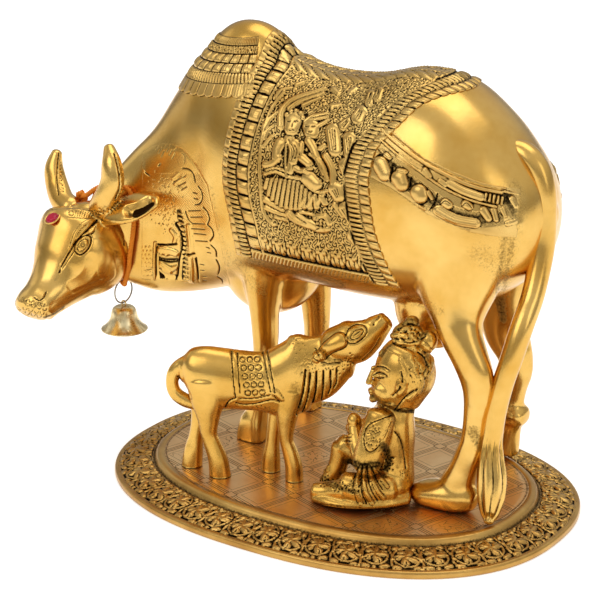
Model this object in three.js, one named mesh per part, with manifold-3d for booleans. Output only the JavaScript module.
// A gold-plated metal cow with her calf and a seated child on an oval plinth.
// Millimetres, +Z up. The origin is the centre of the plinth's underside.
// The cow faces -X and her left flank faces -Y.
import * as THREE from "three";
import { mergeVertices } from "three/addons/utils/BufferGeometryUtils.js";
import Module from "manifold-3d";

const wasm = await Module();
wasm.setup();

// Driving dimensions of the plinth
const PLATE_LENGTH = 241;
const PLATE_WIDTH = 176.6;
const PLATE_POWER = 2.33;
const PLATE_RIM = 3.7;
const PLATE_TOP = 10;
const BORDER_WIDTH = 20;
const PLATE_SIDES = 52;
const SEAT_GAP = 0.3;
const SOLE = PLATE_TOP + SEAT_GAP;

// Driving dimensions of the cow
const COW_Y = 22;
const BELLY_SIDES = 20;
const BELLY_EGG = 0.1;
const CLOTH_RISE = 1.1;

// Driving dimensions of the calf, which walks on its own heading
const CALF_HEADING = THREE.MathUtils.degToRad(25);
const CALF_OFFSET = -15;

// Driving dimensions of the child, whose left side looks along -Y turned by this angle
const CHILD_HEADING = THREE.MathUtils.degToRad(32);
const CHILD_AT = new THREE.Vector3(26.8, -29.2, 0);

// Driving dimensions of the bell
const BELL_MOUTH = 12.3;
const BELL_HEIGHT = 13.2;
const BELL_WALL = 0.9;
const BELL_AT = new THREE.Vector3(-134, -3, 56.7);
const LUG_RADIUS = 1.4;
const LUG_WIRE = 0.4;
const LUG_SINK = 0.3;
const RING_RADIUS = 6.4;
const RING_WIRE = 0.42;
const RING_HEADING = THREE.MathUtils.degToRad(84);
const HANG_GAP = 0.12;
const CLAPPER_BALL = 2.2;
const CLAPPER_ROD = 0.6;

// Driving dimensions of the thread and of the round stone on the forehead
const THREAD_WIRE = 1.35;
const THREAD_STEPS = 26;
const KNOT_STEP = 3;
const KNOT_RADIUS = 2.5;
const GEM_RADIUS = 4.4;
const GEM_DOME = 1.8;
const GEM_TILT = THREE.MathUtils.degToRad(14);
const GEM_LEAN = THREE.MathUtils.degToRad(18);

const UP = new THREE.Vector3(0, 0, 1);
const ACROSS = new THREE.Vector3(0, 1, 0);

// The cow's head has its own frame: forward to the muzzle, out of its left cheek, out of its brow.
const HEAD_AT = new THREE.Vector3(-149.1, -15, 131.4);
const HEAD_FORWARD = new THREE.Vector3(-0.040, -0.715, -0.696).normalize();
const HEAD_LEFT = new THREE.Vector3(0.916, -0.304, 0.263)
  .addScaledVector(HEAD_FORWARD, -new THREE.Vector3(0.916, -0.304, 0.263).dot(HEAD_FORWARD))
  .normalize();
const HEAD_BROW = HEAD_FORWARD.clone().cross(HEAD_LEFT);
const HORN_LEAN = 2;

const gold = (color, roughness) => new THREE.MeshStandardMaterial({ color, roughness, metalness: 1 });

// Solids and how they join

function solid(geometry) {
  const bare = geometry.index ? geometry.toNonIndexed() : geometry.clone();
  bare.deleteAttribute("normal");
  bare.deleteAttribute("uv");
  const merged = mergeVertices(bare, 1e-4);
  return new wasm.Manifold(new wasm.Mesh({
    numProp: 3,
    vertProperties: Float32Array.from(merged.attributes.position.array),
    triVerts: Uint32Array.from(merged.index.array),
  }));
}

function join(pieces) {
  return pieces.reduce((whole, piece) => whole.add(piece));
}

function toGeometry(body) {
  const mesh = body.getMesh();
  const geometry = new THREE.BufferGeometry();
  geometry.setAttribute("position", new THREE.BufferAttribute(Float32Array.from(mesh.vertProperties), 3));
  geometry.setIndex(new THREE.BufferAttribute(Uint32Array.from(mesh.triVerts), 1));
  geometry.computeVertexNormals();
  return geometry;
}

// A box given by its two opposite corners
function block(from, to) {
  const size = new THREE.Vector3().subVectors(to, from);
  const box = new THREE.BoxGeometry(size.x, size.y, size.z);
  box.translate((from.x + to.x) / 2, (from.y + to.y) / 2, (from.z + to.z) / 2);
  return solid(box);
}

// An ellipsoid with its three half-sizes along x, y and z
function bulge(centre, radii, sides = 14) {
  const ball = new THREE.SphereGeometry(1, sides, Math.round(sides * 0.6));
  ball.rotateX(Math.PI / 2);
  ball.scale(radii.x, radii.y, radii.z);
  ball.translate(centre.x, centre.y, centre.z);
  return solid(ball);
}

// Rows of numbers made denser by a Catmull-Rom curve through each column
function refine(rows, steps) {
  const out = [];
  for (let i = 0; i < rows.length - 1; i++) {
    const a = rows[Math.max(i - 1, 0)];
    const b = rows[i];
    const c = rows[i + 1];
    const d = rows[Math.min(i + 2, rows.length - 1)];
    for (let k = 0; k < steps; k++) {
      const t = k / steps;
      out.push(b.map((value, j) => 0.5 * (2 * value + (c[j] - a[j]) * t
        + (2 * a[j] - 5 * value + 4 * c[j] - d[j]) * t * t
        + (3 * value - a[j] - 3 * c[j] + d[j]) * t * t * t)));
    }
  }
  out.push(rows[rows.length - 1]);
  return out;
}

function roundPower(angle, power) {
  const c = Math.cos(angle);
  const s = Math.sin(angle);
  return [
    Math.sign(c) * Math.abs(c) ** (2 / power),
    Math.sign(s) * Math.abs(s) ** (2 / power),
  ];
}

// A closed limb through rows of [x, y, z, half across, half deep, squareness].
// Across lies along the side direction, deep is at right angles to it and to the path.
// An egg above nought makes the section broader towards its deep side.
function limb(rows, { side = ACROSS, sides = 12, steps = 1, upright = false, grow = 0, caps = 1, egg = 0 } = {}) {
  const list = refine(rows.map((row) => [...row.slice(0, 5), row[5] ?? 2]), steps);
  const centres = list.map((row) => new THREE.Vector3(row[0], row[1], row[2]));
  const rings = list.map((row, i) => {
    const before = centres[Math.max(i - 1, 0)];
    const after = centres[Math.min(i + 1, centres.length - 1)];
    const along = new THREE.Vector3().subVectors(after, before);
    if (upright) {
      along.z = 0;
    }
    along.normalize();
    const u = side.clone().addScaledVector(along, -side.dot(along)).normalize();
    const v = along.clone().cross(u);
    return { centre: centres[i], u, v, along, across: row[3] + grow, deep: row[4] + grow, power: row[5] };
  });
  const domed = (ring, way) => {
    const reach = Math.min(ring.across, ring.deep) * caps;
    return (sides > 12 ? [0.55, 0.87] : [0.7]).map((lift) => ({
      ...ring,
      centre: ring.centre.clone().addScaledVector(ring.along, way * reach * lift * 0.7),
      across: ring.across * Math.sqrt(1 - lift * lift),
      deep: ring.deep * Math.sqrt(1 - lift * lift),
      tip: ring.centre.clone().addScaledVector(ring.along, way * reach * 0.75),
    }));
  };
  const start = domed(rings[0], -1);
  const end = domed(rings[rings.length - 1], 1);
  const all = [...start.reverse(), ...rings, ...end];
  const points = [];
  for (const ring of all) {
    for (let k = 0; k < sides; k++) {
      const [c, s] = roundPower((2 * Math.PI * k) / sides, ring.power);
      const across = ring.across * c * (1 + egg * s);
      points.push(ring.centre.clone().addScaledVector(ring.u, across).addScaledVector(ring.v, ring.deep * s));
    }
  }
  points.push(all[0].tip, all[all.length - 1].tip);
  const faces = [];
  for (let i = 0; i < all.length - 1; i++) {
    for (let k = 0; k < sides; k++) {
      const a = i * sides + k;
      const b = i * sides + ((k + 1) % sides);
      faces.push(a, b, b + sides, a, b + sides, a + sides);
    }
  }
  const first = points.length - 2;
  const last = points.length - 1;
  const base = (all.length - 1) * sides;
  for (let k = 0; k < sides; k++) {
    const next = (k + 1) % sides;
    faces.push(first, next, k);
    faces.push(last, base + k, base + next);
  }
  const geometry = new THREE.BufferGeometry();
  geometry.setAttribute("position", new THREE.Float32BufferAttribute(points.flatMap((p) => [p.x, p.y, p.z]), 3));
  geometry.setIndex(faces);
  return solid(geometry);
}

// A solid between two flat outlines in XZ, running along Y
function slab(outline, yFrom, yTo) {
  const shape = new THREE.Shape(outline.map(([x, z]) => new THREE.Vector2(x, z)));
  const geometry = new THREE.ExtrudeGeometry(shape, { depth: yTo - yFrom, bevelEnabled: false, curveSegments: 4 });
  geometry.rotateX(Math.PI / 2);
  geometry.translate(0, yTo, 0);
  return solid(geometry);
}

// Everything below a height is cut away, so that soles are flat
function flatSole(body, height) {
  return body.subtract(block(new THREE.Vector3(-200, -200, -60), new THREE.Vector3(200, 200, height)));
}

// Plinth: [half length, half width, height] of each level of an oval, from below upwards
function plinth() {
  const length = PLATE_LENGTH / 2;
  const width = PLATE_WIDTH / 2;
  const levels = [
    [0, 0], [0, PLATE_RIM - 1], [1, PLATE_RIM], [2.6, PLATE_RIM],
    [9, PLATE_RIM + 2], [16, PLATE_TOP - 3], [BORDER_WIDTH, PLATE_TOP - 3],
    [BORDER_WIDTH + 0.5, PLATE_TOP - 1], [BORDER_WIDTH + 2.2, PLATE_TOP],
  ];
  const sides = PLATE_SIDES;
  const points = [];
  for (const [inset, height] of levels) {
    for (let k = 0; k < sides; k++) {
      const [c, s] = roundPower((2 * Math.PI * k) / sides, PLATE_POWER);
      points.push((length - inset) * c, (width - inset) * s, height);
    }
  }
  const foot = points.length / 3;
  points.push(0, 0, 0, 0, 0, PLATE_TOP);
  const faces = [];
  for (let i = 0; i < levels.length - 1; i++) {
    for (let k = 0; k < sides; k++) {
      const a = i * sides + k;
      const b = i * sides + ((k + 1) % sides);
      faces.push(a, b, b + sides, a, b + sides, a + sides);
    }
  }
  const base = (levels.length - 1) * sides;
  for (let k = 0; k < sides; k++) {
    const next = (k + 1) % sides;
    faces.push(foot, next, k);
    faces.push(foot + 1, base + k, base + next);
  }
  const geometry = new THREE.BufferGeometry();
  geometry.setAttribute("position", new THREE.Float32BufferAttribute(points, 3));
  geometry.setIndex(faces);
  return solid(geometry);
}

// Cow

// [x, y, top, bottom, half width, squareness] from the rump to the poll
const TRUNK = [
  [98.5, 22, 159, 144, 7, 2], [96, 22, 167, 133, 16, 2.1], [91, 22, 174.5, 123, 25.5, 2.2],
  [82, 22, 185, 114, 34, 2.2], [69, 22, 198, 106, 39.5, 2.2], [50, 22, 210, 102, 42.5, 2.25],
  [28, 22, 211.5, 99, 42.5, 2.25], [4, 22, 205.5, 98, 42, 2.25], [-22, 22, 204.5, 98.5, 42, 2.25],
  [-44, 22, 209, 97, 41.5, 2.2], [-62, 22, 213.5, 91, 39, 2.2], [-80, 21, 214, 85, 35, 2.1],
  [-95, 17, 205.5, 81, 30, 2.1], [-107, 12, 186, 79, 24.5, 2.1], [-118, 6.5, 166, 79, 20, 2.1],
  [-128, 1, 153.5, 82, 16.6, 2.1], [-136, -5, 142.5, 86, 15, 2], [-142, -11, 135, 93, 13, 2],
];

function trunk(grow = 0) {
  const rows = TRUNK.map(([x, y, top, bottom, half, power]) =>
    [x, y, (top + bottom) / 2, half, (top - bottom) / 2, power]);
  return limb(rows, { sides: BELLY_SIDES, upright: true, grow, egg: BELLY_EGG, caps: 0.5 });
}

const HUMP_AT = new THREE.Vector3(-68, COW_Y, 196.6);
const HUMP = new THREE.Vector3(27, 17, 29);

function hump(grow = 0) {
  return bulge(HUMP_AT, HUMP.clone().addScalar(grow), 14);
}

// Rows of [forward, left, brow, half across, half deep, squareness] in the head's frame
function fromHead(rows) {
  return rows.map(([forward, left, brow, ...rest]) => {
    const p = HEAD_AT.clone()
      .addScaledVector(HEAD_FORWARD, forward)
      .addScaledVector(HEAD_LEFT, left)
      .addScaledVector(HEAD_BROW, brow);
    return [p.x, p.y, p.z, ...rest];
  });
}

function skull(grow = 0) {
  return limb(fromHead([
    [1, 0, -11, 12, 14.5], [5, 0, -13.4, 17, 20.8], [12, 0, -15, 20, 25], [20, 0, -15.2, 22, 27],
    [28.5, 0, -14.4, 21.6, 25.8], [37.6, 0, -12.6, 18, 20], [43.4, 0, -12.4, 15, 15.6],
    [51, 0, -10.6, 13, 12.4], [58, 0, -8.8, 12.4, 10.8], [64, 0, -7, 12.2, 10], [67, 0, -7, 10.4, 8.2],
  ]), { side: HEAD_LEFT, sides: 16, caps: 0.4, grow });
}

function hornsAndEars(grow = 0) {
  const parts = [];
  for (const way of [1, -1]) {
    parts.push(limb(fromHead([
      [6, way * 15 + HORN_LEAN, -5, 7, 6.6], [3, way * 21.6 + HORN_LEAN, -1.5, 6.8, 6],
      [-3.7, way * 27.4 + HORN_LEAN, 2.7, 7, 5.6], [-11, way * 28.6 + HORN_LEAN, 8.6, 5.8, 4.8],
      [-17.6, way * 26 + HORN_LEAN, 12.6, 3.2, 2.8],
    ]), { side: HEAD_LEFT, sides: 7, grow }));
    parts.push(limb(fromHead([
      [9, way * 15, -10, 3.6, 4.6], [7.5, way * 23, -9, 3, 6], [4, way * 31.5, -10.4, 2.8, 8],
      [0, way * 39.5, -13.4, 2.6, 7.6], [-4.4, way * 45.5, -16.6, 1.5, 3.6],
    ]), { side: HEAD_BROW, sides: 6, grow }));
  }
  return join(parts);
}

// Each leg runs down from inside the trunk: [x, y, z, half across, half deep, squareness]
const NEAR_FORE = [
  [-50, 4, 128, 14, 19], [-50, 4, 108, 11.5, 13.5], [-50.4, 4.5, 92, 8.8, 9.8], [-50.3, 5, 80, 7.4, 7.7],
  [-49.8, 5, 66, 6.6, 6.8], [-50.5, 5, 54, 5.6, 6], [-52.5, 5, 42, 5.2, 5.4], [-54, 5, 32, 5.2, 5.4],
  [-55, 5, 25, 5.8, 6], [-56.6, 5, 19.5, 6.8, 7.4, 3], [-57.6, 5, 12, 7.2, 8, 3.4], [-57.8, 5, 8, 7.2, 8, 3.4],
];
const FAR_FORE = [
  [-46, 41, 128, 14, 19], [-46, 42, 108, 11.5, 13.5], [-46, 44, 90, 9, 9.8], [-46, 46, 74, 7.8, 8],
  [-46.5, 47.5, 60, 6.7, 6.9], [-48.5, 49, 48, 5.6, 6], [-51.5, 51, 36, 5.2, 5.4], [-54, 53, 27, 5.4, 5.6],
  [-57, 55, 19.5, 6.8, 7.2, 3], [-58, 55.5, 12, 7.2, 7.8, 3.4], [-58.2, 55.6, 8, 7.2, 7.8, 3.4],
];
const NEAR_HIND = [
  [62, 6, 152, 22, 33], [62, 1, 130, 20, 28], [65, -4, 114, 15.4, 19], [68.4, -8.6, 103, 11.4, 12.2],
  [72, -11, 96, 9.6, 10], [76.4, -12, 88.5, 8.4, 9], [80.2, -12.5, 80.5, 7.2, 8.6], [81.6, -12.5, 72, 6.2, 7.5],
  [80.8, -12.5, 61, 5.6, 6], [80, -12.5, 50, 5.8, 6], [78.8, -12.6, 43, 6.4, 6.6],
  [75.6, -12.8, 33, 6.6, 7], [72.5, -13, 24, 7.4, 8.6], [71, -13, 17, 8, 10],
];
const NEAR_HIND_FOOT = [
  [81, -13, 17, 5, 6], [76, -13, 17.5, 8, 8], [68, -13.4, 17, 9.4, 8.4], [60, -13.8, 16, 9.4, 7],
  [54, -14, 15, 8.4, 6], [50.5, -14, 14.5, 5.6, 4.6],
];
const FAR_HIND = [
  [60, 40, 152, 21, 33], [60, 46, 130, 19, 28], [60, 51, 112, 15, 19], [60.5, 54, 98, 11.5, 13],
  [58.5, 56, 86, 9.4, 13.6], [60, 57, 75, 8, 12.4], [64.6, 57, 65, 7.4, 9.6], [66, 57, 56, 6.6, 8.4],
  [65.6, 57, 47, 5.6, 6], [65, 57, 40, 5.4, 5.7], [65.2, 57, 35, 6.3, 6.6], [65.2, 57, 31, 6.3, 6.6],
  [64.4, 57, 26, 5.5, 5.7], [62.5, 57, 19, 5.8, 6.4], [61, 57, 14, 6.6, 8],
];
const FAR_HIND_FOOT = [
  [66, 57, 14, 4.6, 4], [61, 57, 15, 7, 6], [54, 56.6, 14.8, 8, 6], [48, 56.4, 14, 7, 5], [45, 56.4, 13.5, 4.6, 4],
];

// The tail hangs down behind and swings over to the near hind leg
const TAIL = [
  [76, 20, 181, 5, 5], [84, 20, 180, 5.8, 5.8], [91, 20, 174, 6, 6], [94.8, 20, 164, 6, 6], [96, 19.5, 150, 6, 6],
  [96.6, 18, 138, 5.8, 5.8], [96.8, 14, 126, 5.6, 5.6], [97.2, 8, 115, 5.4, 5.4], [96.8, 0, 104, 5.4, 5.4],
  [95, -5, 91, 5.3, 5.3], [92, -8, 77, 5.1, 5.1], [89.8, -10, 62.4, 5, 5], [89, -11.4, 49.5, 5.4, 5.2],
  [89.8, -12.6, 41, 7, 6], [91, -14, 32, 7.8, 7.2], [92, -16, 23, 7.4, 7], [93, -18.6, 15.5, 5.2, 4.8],
  [93.6, -20.5, 12.6, 2.4, 2.6],
];

// Udder between the hind legs, with the calf's muzzle just before it
const UDDER_AT = new THREE.Vector3(42, 14, 99);
const UDDER = new THREE.Vector3(20, 16, 21);

// Breast between the fore legs
const BRISKET_AT = new THREE.Vector3(-58, 24, 101);
const BRISKET = new THREE.Vector3(27, 25, 27);

// Outline of the cloth over the back, seen from the side: [x, z]
const CLOTH = [
  [-50, 240], [-57, 193], [-60, 163], [-59, 151], [-54, 125], [-55, 114], [-12, 113], [16, 113], [38, 119],
  [29, 144], [24, 167], [26, 180], [42, 198], [66, 209], [72, 240],
];
const HUMP_CLOTH = [[-96, 240], [-92, 206], [-84, 196], [-70, 192], [-58, 196], [-50, 206], [-50, 240]];
const CRUPPER = [[24, 176], [58, 163], [84, 164], [110, 178], [110, 169], [84, 155], [58, 153], [27, 164]];

function clothOver(outline, grow) {
  return slab(outline, -60, 100).intersect(trunk(grow).add(hump(grow)));
}

const LEG_SHAPE = { sides: 7, caps: 0.6 };

function cow() {
  const body = join([
    trunk(),
    hump(),
    skull(),
    hornsAndEars(),
    limb(NEAR_FORE, LEG_SHAPE),
    limb(FAR_FORE, LEG_SHAPE),
    limb(NEAR_HIND, LEG_SHAPE),
    limb(NEAR_HIND_FOOT, LEG_SHAPE),
    limb(FAR_HIND, LEG_SHAPE),
    limb(FAR_HIND_FOOT, LEG_SHAPE),
    limb(TAIL, { sides: 6 }),
    bulge(BRISKET_AT, BRISKET, 10),
    bulge(UDDER_AT, UDDER, 10),
    clothOver(CLOTH, CLOTH_RISE),
    clothOver(HUMP_CLOTH, CLOTH_RISE),
    clothOver(CRUPPER, CLOTH_RISE),
  ]);
  return flatSole(body, SOLE);
}

// Calf, in [along, side, z] on its own heading
function fromCalf(rows) {
  const cos = Math.cos(CALF_HEADING);
  const sin = Math.sin(CALF_HEADING);
  return rows.map(([along, side, z, ...rest]) => {
    const off = side + CALF_OFFSET;
    return [along * cos - off * sin, along * sin + off * cos, z, ...rest];
  });
}

const CALF_SIDE = new THREE.Vector3(-Math.sin(CALF_HEADING), Math.cos(CALF_HEADING), 0);

const CALF_TRUNK = [
  [-77, 0, 63.5, 5, 7], [-73, 0, 62.5, 8.6, 12], [-66, 0, 60.8, 10, 15], [-58, 0, 59.8, 10.4, 15.6],
  [-48, 0, 59.4, 10.6, 15.2], [-38, 0, 59.2, 10.6, 15.4], [-29, 0, 60.5, 10.6, 19], [-22, 0, 63.5, 10, 21],
  [-16, 0, 64.5, 8.6, 19.5],
];
const CALF_NECK = [
  [-24, 0, 66, 8, 18], [-15, 0, 66.5, 7.6, 17.4], [-9, 0, 67.6, 7, 17.2], [-2, 0, 71.4, 6.6, 16.4], [5, 0, 76.6, 6.2, 13],
];
const CALF_HEAD = [
  [-8, 0, 79.5, 5, 4.4], [-4, 0, 81, 7.6, 7.6], [2, 0, 81.4, 8.2, 10.6], [8, 0, 82.8, 7.8, 10.8], [13.6, 0, 86.2, 6.4, 8.6],
  [18.4, 0, 90.4, 5, 6.2], [22, 0, 93.8, 3.6, 4.4],
];
const CALF_NEAR_FORE = [
  [-24, -5, 58, 5.5, 8.5], [-25, -5, 46, 4.6, 5.8], [-25.5, -5, 38, 3.8, 4.4], [-25.4, -5, 31, 3.4, 3.5],
  [-23.4, -5, 24, 3.6, 3.9], [-21.8, -5, 17, 4, 4.4], [-21.6, -5, 8, 4.2, 4.6],
];
const CALF_FAR_FORE = [
  [-29, 5, 56, 5.2, 7.5], [-31, 5, 44, 4.2, 5.2], [-33, 5, 33, 3.4, 3.8], [-34, 5, 25, 3.3, 3.6],
  [-34.7, 5, 17, 4, 4.6], [-35, 5, 8, 4.3, 5],
];
const CALF_NEAR_HIND = [
  [-65, -4.6, 60, 6.4, 10.5], [-64.4, -5, 49, 5.6, 8.4], [-64.2, -5, 40, 4.4, 5.6], [-64, -5, 32, 3.6, 4.2],
  [-61.8, -5, 25, 3.8, 4.4], [-59.6, -5, 18, 4.4, 5], [-58.6, -5, 8, 4.8, 5.6],
];
const CALF_FAR_HIND = [
  [-67, 4.6, 58, 6, 9], [-68.5, 5, 46, 5, 6.6], [-70.5, 5, 35, 4, 4.4], [-72.5, 5, 26, 3.5, 3.7],
  [-74, 5, 18, 4.3, 4.8], [-75, 5, 8, 4.7, 5.4],
];
const CALF_TAIL = [
  [-72, 0, 68, 3, 3], [-77, 0, 66.6, 3.1, 3.4], [-81.6, 0, 62, 3.2, 3.4], [-83, 0, 56, 3.2, 3.2],
  [-81.4, 0, 50.5, 3.2, 3.4], [-76.6, 0, 47, 3, 3.6], [-71, 0, 45, 2.6, 3],
];
const CALF_CLOTH_FROM = -51;
const CALF_CLOTH_TO = -31;
const CALF_CLOTH_LOW = 51;

function calf() {
  const calfLimb = (rows, options = {}) =>
    limb(fromCalf(rows), { side: CALF_SIDE, sides: 6, caps: 0.7, ...options });
  const cloth = calfLimb(CALF_TRUNK, { sides: 12, upright: true, grow: 0.9 });
  const middle = fromCalf([[(CALF_CLOTH_FROM + CALF_CLOTH_TO) / 2, 0, CALF_CLOTH_LOW + 20]])[0];
  const frame = new THREE.BoxGeometry(CALF_CLOTH_TO - CALF_CLOTH_FROM, 60, 40);
  frame.rotateZ(CALF_HEADING);
  frame.translate(middle[0], middle[1], middle[2]);
  const body = join([
    calfLimb(CALF_TRUNK, { sides: 12, upright: true }),
    calfLimb(CALF_NECK, { sides: 10, upright: true }),
    calfLimb(CALF_HEAD, { sides: 10 }),
    calfLimb(CALF_NEAR_FORE),
    calfLimb(CALF_FAR_FORE),
    calfLimb(CALF_NEAR_HIND),
    calfLimb(CALF_FAR_HIND),
    calfLimb(CALF_TAIL),
    calfLimb([[-9, -6, 77, 2, 2], [-10.5, -10, 75.6, 2, 2.2]]),
    calfLimb([[-9, 6, 77, 2, 2], [-10.5, 10, 75.6, 2, 2.2]]),
    cloth.intersect(solid(frame)),
  ]);
  return flatSole(body, SOLE);
}

// Child, in [right, back, z]: right is where its back is, it looks to the left
function fromChild(rows) {
  const cos = Math.cos(CHILD_HEADING);
  const sin = Math.sin(CHILD_HEADING);
  return rows.map(([right, back, z, ...rest]) =>
    [CHILD_AT.x + right * cos - back * sin, CHILD_AT.y + right * sin + back * cos, z, ...rest]);
}

const CHILD_SIDE = new THREE.Vector3(-Math.sin(CHILD_HEADING), Math.cos(CHILD_HEADING), 0);

function child() {
  const childLimb = (rows, options = {}) =>
    limb(fromChild(rows), { side: CHILD_SIDE, sides: 6, caps: 0.8, ...options });
  const ball = (right, back, z, across, deep, high, sides = 8) => {
    const geometry = new THREE.SphereGeometry(1, sides, Math.round(sides * 0.6));
    geometry.rotateX(Math.PI / 2);
    geometry.scale(deep, across, high);
    geometry.rotateZ(CHILD_HEADING);
    const [x, y, height] = fromChild([[right, back, z]])[0];
    geometry.translate(x, y, height);
    return solid(geometry);
  };
  const body = join([
    childLimb([[23, 1, 14, 12, 4.4], [12, 0, 14, 16, 4.4], [-2, -1, 13.6, 16, 4], [-14, -1, 13.4, 12.6, 3.8],
      [-21, -1, 13, 7, 3.4]], { sides: 12 }),
    ball(16, 1, 20, 13, 10.5, 10, 10),
    childLimb([[18, 1, 20, 11, 9.4], [17, 1, 32, 9.6, 9.8], [16.6, 1, 44, 10.4, 10.6], [16.8, 1, 53, 10.6, 10],
      [18.8, 1, 60, 8, 8.4], [19.6, 1, 65, 7.6, 8]], { sides: 10 }),
    childLimb([[25, 0, 90, 7, 7.6], [22.8, 0, 83, 12.8, 13], [21.6, 0, 75, 13.7, 14.5], [20.4, 0, 68, 12.6, 12.8],
      [19.4, 0, 62, 10, 10.2]], { sides: 14 }),
    ball(12.6, -1, 68.6, 10, 6.6, 7.6),
    ball(22.6, 0, 94.5, 8, 7.6, 6.4, 10),
    ball(24.6, 0, 101.6, 2.6, 3.4, 2.8, 6),
    ball(32.4, -4.4, 93.6, 4.4, 4.2, 5.2),
    childLimb([[10.4, -8, 57, 6.2, 7], [7.6, -10, 47, 6.6, 7.4], [4.8, -11.6, 37, 6.6, 7.2], [3.4, -12, 32.6, 5.8, 6.4]]),
    childLimb([[4, -11, 31, 5, 5], [0, -4, 38, 4.2, 4.2], [-2, 3, 46, 3.4, 3.4]]),
    ball(-2, 4, 49.6, 4, 3.6, 4),
    childLimb([[14, 10, 54, 5.4, 5.4], [8, 13, 45, 5, 5], [0, 10, 42, 4.2, 4.2], [-3, 5, 46, 3.4, 3.4]]),
    childLimb([[14, -6, 19, 8.6, 8], [2, -9, 20, 7.6, 7.6], [-6, -8, 21, 6.4, 6.6]]),
    childLimb([[-6, -9, 19, 5.6, 5.6], [-14, -5, 16.5, 5, 4.6], [-20, -3, 16, 4.6, 4]]),
    childLimb([[12, 8, 21, 7.4, 7.4], [0, 9, 30, 6.4, 6.4], [-8, 9, 35, 5.4, 5.4]]),
    childLimb([[-8, 9, 34, 5, 5], [-9.6, 9, 24, 4.6, 4.8], [-13, 9, 14, 5, 6]]),
  ]);
  // Its base stops short of the cow's near hind hoof
  const hoof = limb(NEAR_HIND_FOOT, { ...LEG_SHAPE, grow: 2 * SEAT_GAP });
  return flatSole(body, SOLE).subtract(hoof);
}

// Bell: an open shell turned from its profile, with a lug on its crown
function bell() {
  const outer = [
    [0, BELL_HEIGHT], [3.4, BELL_HEIGHT - 0.3], [5.4, BELL_HEIGHT - 1.2], [6.4, BELL_HEIGHT - 2.8], [7.1, BELL_HEIGHT - 6],
    [8.5, 4.1], [10.1, 2.2], [BELL_MOUTH - 0.6, 0.9], [BELL_MOUTH, 0.3], [BELL_MOUTH - 0.2, 0],
  ];
  const inner = [
    [BELL_MOUTH - BELL_WALL, 0], [10.1 - BELL_WALL, 2], [8.5 - BELL_WALL, 3.9], [7.1 - BELL_WALL, BELL_HEIGHT - 6],
    [6.4 - BELL_WALL, BELL_HEIGHT - 3], [4.4, BELL_HEIGHT - 2], [0, BELL_HEIGHT - 1.4],
  ];
  const profile = [...outer, ...inner].reverse().map(([r, z]) => new THREE.Vector2(r, z));
  const lathe = new THREE.LatheGeometry(profile, 22);
  lathe.rotateX(Math.PI / 2);
  lathe.translate(BELL_AT.x, BELL_AT.y, BELL_AT.z);
  const lug = new THREE.TorusGeometry(LUG_RADIUS, LUG_WIRE, 5, 10);
  lug.rotateX(Math.PI / 2);
  lug.rotateZ(RING_HEADING + Math.PI / 2);
  lug.translate(BELL_AT.x, BELL_AT.y, BELL_AT.z + BELL_HEIGHT + LUG_RADIUS - LUG_SINK);
  return solid(lathe).add(solid(lug));
}

// The wire ring hangs on the thread and passes through the bell's lug
function bellRing() {
  const ring = new THREE.TorusGeometry(RING_RADIUS, RING_WIRE, 6, 18);
  ring.rotateX(Math.PI / 2);
  ring.rotateZ(RING_HEADING);
  const lugTop = BELL_AT.z + BELL_HEIGHT - LUG_SINK + 2 * LUG_RADIUS - LUG_WIRE;
  ring.translate(BELL_AT.x, BELL_AT.y, lugTop - HANG_GAP + RING_RADIUS - RING_WIRE);
  return solid(ring);
}

function clapper() {
  const from = 2.4;
  const to = BELL_HEIGHT - 2;
  const ball = new THREE.SphereGeometry(CLAPPER_BALL, 10, 6);
  ball.rotateX(Math.PI / 2);
  ball.translate(BELL_AT.x, BELL_AT.y, BELL_AT.z + from);
  const rod = new THREE.CylinderGeometry(CLAPPER_ROD, CLAPPER_ROD, to - from, 6);
  rod.rotateX(Math.PI / 2);
  rod.translate(BELL_AT.x, BELL_AT.y, BELL_AT.z + (from + to) / 2);
  return solid(ball).add(solid(rod));
}

// Thread round the neck behind the horns and ears, through named points. Where a point would lie
// inside the metal, a ray from within the neck finds the skin and the thread is laid on it.
const THREAD_CENTRE = new THREE.Vector3(-143, -8, 112);
const THREAD_GUIDE = [
  [-128, -12, 141], [-137.3, -12, 134.5], [-148, -11.5, 130], [-158, -6, 125], [-158, 2, 112], [-152, 4, 99],
  [-145, 2, 89], [-134, -3, 81.5], [-127, -10, 86.6], [-121, -14.5, 97.5], [-118.3, -15.5, 108.5], [-117, -14.4, 120],
  [-119.5, -12.5, 133],
];

// A closed cord through a ring of points
function hoop(points, centre, wire, sides = 6) {
  const count = points.length;
  const corners = [];
  points.forEach((point, i) => {
    const along = new THREE.Vector3().subVectors(points[(i + 1) % count], points[(i + count - 1) % count]).normalize();
    const out = new THREE.Vector3().subVectors(point, centre);
    out.addScaledVector(along, -out.dot(along)).normalize();
    const aside = along.clone().cross(out);
    for (let k = 0; k < sides; k++) {
      const angle = (2 * Math.PI * k) / sides;
      corners.push(point.clone()
        .addScaledVector(out, wire * Math.cos(angle))
        .addScaledVector(aside, wire * Math.sin(angle)));
    }
  });
  const faces = [];
  for (let i = 0; i < count; i++) {
    for (let k = 0; k < sides; k++) {
      const a = i * sides + k;
      const b = i * sides + ((k + 1) % sides);
      const c = ((i + 1) % count) * sides + ((k + 1) % sides);
      const d = ((i + 1) % count) * sides + k;
      faces.push(a, b, c, a, c, d);
    }
  }
  const geometry = new THREE.BufferGeometry();
  geometry.setAttribute("position", new THREE.Float32BufferAttribute(corners.flatMap((p) => [p.x, p.y, p.z]), 3));
  geometry.setIndex(faces);
  return solid(geometry);
}

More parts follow.
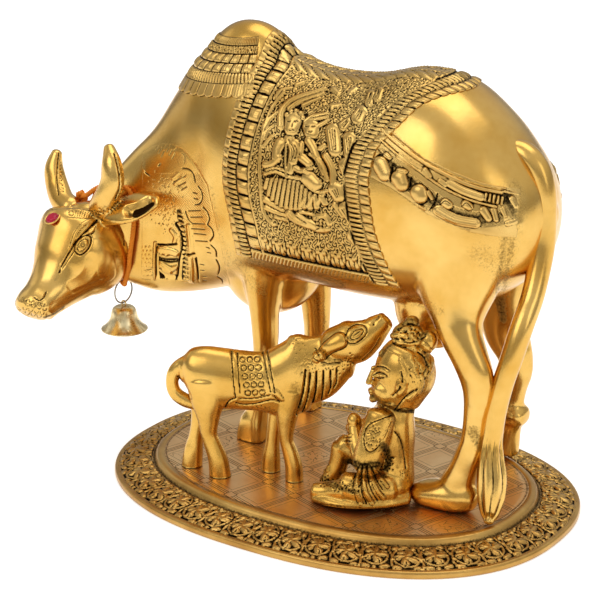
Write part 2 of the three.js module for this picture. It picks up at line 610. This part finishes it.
function threadPath() {
  const body = trunk().add(skull());
  const skin = new THREE.Mesh(toGeometry(body), new THREE.MeshBasicMaterial({ side: THREE.DoubleSide }));
  const caster = new THREE.Raycaster();
  const guide = new THREE.CatmullRomCurve3(THREAD_GUIDE.map((p) => new THREE.Vector3(...p)), true);
  return guide.getSpacedPoints(THREAD_STEPS).slice(0, THREAD_STEPS).map((point) => {
    const way = new THREE.Vector3().subVectors(point, THREAD_CENTRE);
    const reach = way.length();
    caster.set(THREAD_CENTRE, way.normalize());
    const hits = caster.intersectObject(skin);
    const clear = hits[0].distance + THREAD_WIRE + SEAT_GAP;
    return THREAD_CENTRE.clone().addScaledVector(way, Math.max(reach, clear));
  });
}

function neckThread() {
  const path = threadPath();
  const knot = bulge(path[KNOT_STEP], new THREE.Vector3(KNOT_RADIUS, KNOT_RADIUS, KNOT_RADIUS), 8);
  const gap = 2 * SEAT_GAP;
  const clear = trunk(gap).add(skull(gap)).add(hornsAndEars(gap));
  return hoop(path, THREAD_CENTRE, THREAD_WIRE).add(knot).subtract(clear);
}

const GEM_AT = [22.5, 6, 10.4];

// Domed stone sunk a little in the forehead, with a narrow gap all round
function gem() {
  const [x, y, z] = fromHead([GEM_AT])[0];
  const stone = new THREE.SphereGeometry(1, 14, 6);
  stone.scale(GEM_RADIUS, GEM_DOME, GEM_RADIUS);
  stone.rotateX(GEM_TILT);
  stone.rotateZ(GEM_LEAN);
  const turn = new THREE.Matrix4().makeBasis(HEAD_LEFT.clone().negate(), HEAD_BROW, HEAD_FORWARD.clone().negate());
  stone.applyMatrix4(turn);
  stone.translate(x, y, z);
  return solid(stone).subtract(skull(2 * SEAT_GAP));
}

const group = new THREE.Group();

function add(name, body, material) {
  const mesh = new THREE.Mesh(toGeometry(body), material);
  mesh.name = name;
  group.add(mesh);
}

add("base_plate", plinth(), gold(0xd2a050, 0.4));
add("cow", cow(), gold(0xe6b450, 0.2));
add("calf", calf(), gold(0xe0ab48, 0.22));
add("child_figure", child(), gold(0xdcaa4c, 0.25));
add("bell", bell(), gold(0xc8ad74, 0.3));
add("bell_clapper", clapper(), gold(0xb09868, 0.4));
add("bell_ring", bellRing(), gold(0xa8a090, 0.35));
add("neck_thread", neckThread(), new THREE.MeshStandardMaterial({ color: 0xd8641c, roughness: 0.8 }));
add("forehead_gem", gem(), new THREE.MeshStandardMaterial({ color: 0xb01830, roughness: 0.1, metalness: 0 }));

export default group;
